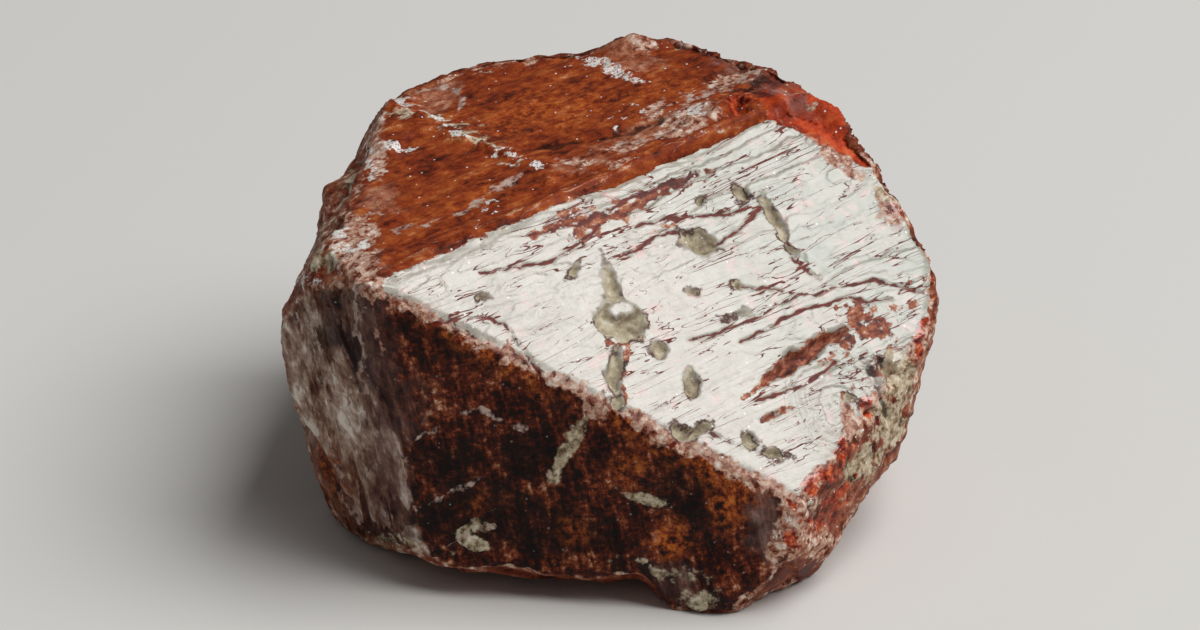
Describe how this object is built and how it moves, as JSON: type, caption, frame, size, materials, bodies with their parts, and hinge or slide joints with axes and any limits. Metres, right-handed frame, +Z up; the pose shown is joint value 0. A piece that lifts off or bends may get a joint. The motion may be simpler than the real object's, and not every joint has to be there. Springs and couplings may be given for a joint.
{
  "type": "zircon crystal",
  "caption": "Stubby red-brown zircon crystal, a square prism with pyramid faces, broken and worn at its corners, resting on a level base",
  "frame": {"origin": "middle of the base, on the surface that the stone rests on", "axes": "+Z up, -Y towards the viewer who faces the bright pyramid face, +X to that viewer's right"},
  "size_m": [0.03, 0.028, 0.0183],
  "materials": {
    "zircon": "red-brown translucent crystal, bright worn growth faces with tan mineral remains"
  },
  "bodies": {
    "root": {"zircon_crystal": "zircon"}
  },
  "joints": []
}
